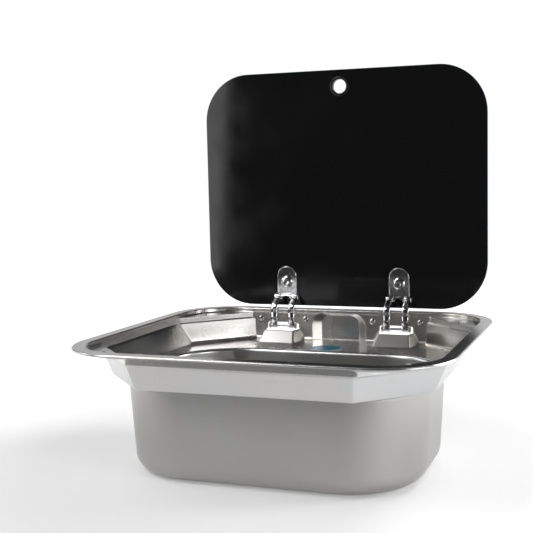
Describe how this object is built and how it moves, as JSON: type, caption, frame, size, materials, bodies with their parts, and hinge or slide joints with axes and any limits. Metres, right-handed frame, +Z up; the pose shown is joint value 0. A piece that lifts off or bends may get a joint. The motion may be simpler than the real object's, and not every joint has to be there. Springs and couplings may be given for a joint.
{
  "type": "recessed sink with hinged glass lid",
  "caption": "Small drop-in sink with a wide rounded flange, a deep oval bowl, a tap niche and a black glass lid that folds down flush on chrome hinge arms.",
  "frame": {"origin": "middle of the waste hole on the underside of the bowl's floor", "axes": "+X to the user's right, +Y to the back where the lid is hinged, +Z up; the lid is stored open, upright"},
  "size_m": [0.42, 0.383, 0.4595],
  "materials": {
    "steel": "satin brushed",
    "bracket_steel": "plain mill",
    "pin_steel": "ground",
    "rivet_steel": "plain",
    "hinge_chrome": "mirror polished",
    "black_glass": "glossy, back enamelled black",
    "grommet_plastic": "satin",
    "gasket_rubber": "matt",
    "bumper_rubber": "matt",
    "cover_disc": "semi-gloss film"
  },
  "bodies": {
    "sink": {"sink_body": "steel", "tap_hole_cover": "cover_disc", "bumper_front_left": "bumper_rubber", "bumper_front_right": "bumper_rubber", "bumper_rear_left": "bumper_rubber", "bumper_rear_right": "bumper_rubber", "hinge_rivets": "rivet_steel", "hinge_bracket_left": "bracket_steel", "hinge_bracket_right": "bracket_steel", "pivot_pin_left": "pin_steel", "pivot_pin_right": "pin_steel"},
    "lid": {"arm_left_outer": "hinge_chrome", "arm_left_inner": "hinge_chrome", "arm_right_inner": "hinge_chrome", "arm_right_outer": "hinge_chrome", "knuckle_pins_left": "pin_steel", "knuckle_pins_right": "pin_steel", "clamp_plate_left": "hinge_chrome", "clamp_plate_right": "hinge_chrome", "inner_gasket_left": "gasket_rubber", "inner_gasket_right": "gasket_rubber", "clamp_screw_left": "hinge_chrome", "clamp_screw_right": "hinge_chrome", "outer_gasket_left": "gasket_rubber", "outer_gasket_right": "gasket_rubber", "outer_cap_left": "hinge_chrome", "outer_cap_right": "hinge_chrome", "lid_glass": "black_glass", "finger_grommet": "grommet_plastic"}
  },
  "joints": [
    {"name": "lid_hinge", "type": "hinge", "parent": "sink", "child": "lid", "pos_m": [0, 0.19425, 0.12225], "axis": [1, 0, 0], "range_deg": [0, 90]}
  ]
}
